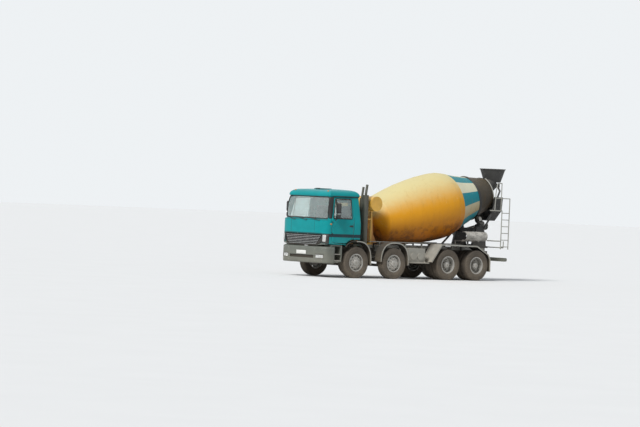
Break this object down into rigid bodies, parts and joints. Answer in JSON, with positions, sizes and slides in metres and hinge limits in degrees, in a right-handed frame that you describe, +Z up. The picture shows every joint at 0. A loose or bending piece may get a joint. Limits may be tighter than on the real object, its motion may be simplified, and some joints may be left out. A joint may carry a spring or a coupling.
{
  "type": "four-axle concrete mixer truck",
  "caption": "Four-axle cab-over truck with a tilted rotating mixing drum, rear hopper, swinging discharge chute, ladder and fenders; cab tilts and doors open.",
  "frame": {"origin": "on the ground under the middle of the bounding box", "axes": "+X forward, +Y left, +Z up"},
  "size_m": [9.1638, 2.89, 3.99],
  "materials": {
    "cab_paint": "gloss teal enamel with a dark side stripe, dusty low down",
    "frame_paint": "matte dark grey with road dirt",
    "grey_paint": "worn light grey, dusty",
    "drum_paint": "satin yellow with a pale band, teal patches and cement stains",
    "orange_paint": "satin orange, dirty at the welds",
    "rear_paint": "dark grey with dried cement",
    "bumper_plastic": "grey plastic, dirty",
    "dark_plastic": "black textured plastic",
    "trim": "dark moulded plastic",
    "rubber_tyre": "dusty black rubber",
    "wheel_steel": "silver grey, brake dust",
    "steel": "oily cast and forged steel",
    "bright_steel": "worn bright steel",
    "exhaust_steel": "heat-dulled grey",
    "window": "clear tinted glass",
    "lamp_clear": "clear lamp lens",
    "lamp_red": "red lamp lens"
  },
  "bodies": {
    "chassis": {"frame": "frame_paint", "subframe": "grey_paint", "engine": "steel", "driveline": "steel", "springs": "steel", "front_axles": "frame_paint", "rear_axles": "frame_paint", "bumper": "bumper_plastic", "headlamps": "lamp_clear", "cab_steps": "bumper_plastic", "front_fenders": "dark_plastic", "rear_fenders": "dark_plastic", "side_tanks": "grey_paint", "exhaust_stack": "exhaust_steel", "water_tank": "orange_paint", "front_pedestal": "orange_paint", "rear_pedestal": "rear_paint", "hopper": "rear_paint", "collector": "rear_paint", "ladder": "grey_paint", "stowed_chute": "grey_paint", "tail_lamps": "lamp_red"},
    "cab": {"cab_shell": "cab_paint", "cab_glass": "window", "cab_interior": "trim"},
    "front_flap": {"grille": "dark_plastic"},
    "door_left": {"door_l": "cab_paint", "door_glass_l": "window", "mirror_l": "dark_plastic"},
    "door_right": {"door_r": "cab_paint", "door_glass_r": "window", "mirror_r": "dark_plastic"},
    "mixer_drum": {"drum": "drum_paint"},
    "roller_left": {"roller_l": "bright_steel"},
    "roller_right": {"roller_r": "bright_steel"},
    "chute_turret": {"chute_swivel": "rear_paint"},
    "discharge_chute": {"chute": "rear_paint"},
    "jack_cylinder": {"jack_barrel": "rear_paint"},
    "jack_piston": {"jack_rod": "bright_steel"},
    "steer_1l": {"knuckle_1l": "steel"},
    "wheel_1l": {"tyre_1l": "rubber_tyre", "rim_1l": "wheel_steel"},
    "steer_1r": {"knuckle_1r": "steel"},
    "wheel_1r": {"tyre_1r": "rubber_tyre", "rim_1r": "wheel_steel"},
    "steer_2l": {"knuckle_2l": "steel"},
    "wheel_2l": {"tyre_2l": "rubber_tyre", "rim_2l": "wheel_steel"},
    "steer_2r": {"knuckle_2r": "steel"},
    "wheel_2r": {"tyre_2r": "rubber_tyre", "rim_2r": "wheel_steel"},
    "wheel_3l": {"tyre_3l": "rubber_tyre", "rim_3l": "wheel_steel"},
    "wheel_3r": {"tyre_3r": "rubber_tyre", "rim_3r": "wheel_steel"},
    "wheel_4l": {"tyre_4l": "rubber_tyre", "rim_4l": "wheel_steel"},
    "wheel_4r": {"tyre_4r": "rubber_tyre", "rim_4r": "wheel_steel"}
  },
  "joints": [
    {"name": "cab_tilt", "type": "hinge", "parent": "chassis", "child": "cab", "pos_m": [4.376, 0, 0.76], "axis": [0, 1, 0], "range_deg": [0, 60]},
    {"name": "flap_open", "type": "hinge", "parent": "cab", "child": "front_flap", "pos_m": [4.56, 0, 1.455], "axis": [0, -1, 0], "range_deg": [0, 75]},
    {"name": "door_left_open", "type": "hinge", "parent": "cab", "child": "door_left", "pos_m": [4.26, 1.21, 1.7], "axis": [0, 0, -1], "range_deg": [0, 70]},
    {"name": "door_right_open", "type": "hinge", "parent": "cab", "child": "door_right", "pos_m": [4.26, -1.21, 1.7], "axis": [0, 0, 1], "range_deg": [0, 70]},
    {"name": "drum_turn", "type": "hinge", "parent": "chassis", "child": "mixer_drum", "pos_m": [1.336, 0, 1.985], "axis": [-0.9774, 0, 0.2113], "continuous": true},
    {"name": "roller_left_turn", "type": "hinge", "parent": "chassis", "child": "roller_left", "pos_m": [-3.02706, 0.53073, 2.15285], "axis": [-0.9774, 0, 0.2113], "continuous": true},
    {"name": "roller_right_turn", "type": "hinge", "parent": "chassis", "child": "roller_right", "pos_m": [-3.02706, -0.53073, 2.15285], "axis": [-0.9774, 0, 0.2113], "continuous": true},
    {"name": "chute_swing", "type": "hinge", "parent": "chassis", "child": "chute_turret", "pos_m": [-3.814, 0, 1.4], "axis": [0, 0, 1], "range_deg": [-145, 0]},
    {"name": "chute_tilt", "type": "hinge", "parent": "chute_turret", "child": "discharge_chute", "pos_m": [-3.74671, -0.25114, 1.65], "axis": [0.9659, 0.2588, 0], "range_deg": [-5, 25]},
    {"name": "jack_pivot", "type": "hinge", "parent": "chute_turret", "child": "jack_cylinder", "pos_m": [-3.77, -0.16421, 1.42], "axis": [0.9659, 0.2588, 0], "range_deg": [-4.2, 19.2]},
    {"name": "jack_stroke", "type": "slide", "parent": "jack_cylinder", "child": "jack_piston", "axis": [0.2501, -0.9335, 0.257], "range_m": [-0.097, 0.02]},
    {"name": "steer_1l", "type": "hinge", "parent": "chassis", "child": "steer_1l", "pos_m": [3.136, 0.925, 0.535], "axis": [0, 0, 1], "range_deg": [-35, 35]},
    {"name": "roll_1l", "type": "hinge", "parent": "steer_1l", "child": "wheel_1l", "pos_m": [3.136, 1.075, 0.535], "axis": [0, 1, 0], "continuous": true},
    {"name": "steer_1r", "type": "hinge", "parent": "chassis", "child": "steer_1r", "pos_m": [3.136, -0.925, 0.535], "axis": [0, 0, 1], "range_deg": [-35, 35]},
    {"name": "roll_1r", "type": "hinge", "parent": "steer_1r", "child": "wheel_1r", "pos_m": [3.136, -1.075, 0.535], "axis": [0, 1, 0], "continuous": true},
    {"name": "steer_2l", "type": "hinge", "parent": "chassis", "child": "steer_2l", "pos_m": [1.436, 0.925, 0.535], "axis": [0, 0, 1], "range_deg": [-22.75, 22.75]},
    {"name": "roll_2l", "type": "hinge", "parent": "steer_2l", "child": "wheel_2l", "pos_m": [1.436, 1.075, 0.535], "axis": [0, 1, 0], "continuous": true},
    {"name": "steer_2r", "type": "hinge", "parent": "chassis", "child": "steer_2r", "pos_m": [1.436, -0.925, 0.535], "axis": [0, 0, 1], "range_deg": [-22.75, 22.75]},
    {"name": "roll_2r", "type": "hinge", "parent": "steer_2r", "child": "wheel_2r", "pos_m": [1.436, -1.075, 0.535], "axis": [0, 1, 0], "continuous": true},
    {"name": "roll_3l", "type": "hinge", "parent": "chassis", "child": "wheel_3l", "pos_m": [-1.064, 0.915, 0.535], "axis": [0, 1, 0], "continuous": true},
    {"name": "roll_3r", "type": "hinge", "parent": "chassis", "child": "wheel_3r", "pos_m": [-1.064, -0.915, 0.535], "axis": [0, 1, 0], "continuous": true},
    {"name": "roll_4l", "type": "hinge", "parent": "chassis", "child": "wheel_4l", "pos_m": [-2.414, 0.915, 0.535], "axis": [0, 1, 0], "continuous": true},
    {"name": "roll_4r", "type": "hinge", "parent": "chassis", "child": "wheel_4r", "pos_m": [-2.414, -0.915, 0.535], "axis": [0, 1, 0], "continuous": true}
  ],
  "couplings": [
    {"joint": "jack_pivot", "follows": "chute_tilt", "ratio": 0.74},
    {"joint": "jack_stroke", "follows": "chute_tilt", "m_per_rad": -0.215},
    {"joint": "steer_1r", "follows": "steer_1l", "ratio": 1},
    {"joint": "steer_2l", "follows": "steer_1l", "ratio": 0.65},
    {"joint": "steer_2r", "follows": "steer_1l", "ratio": 0.65}
  ]
}
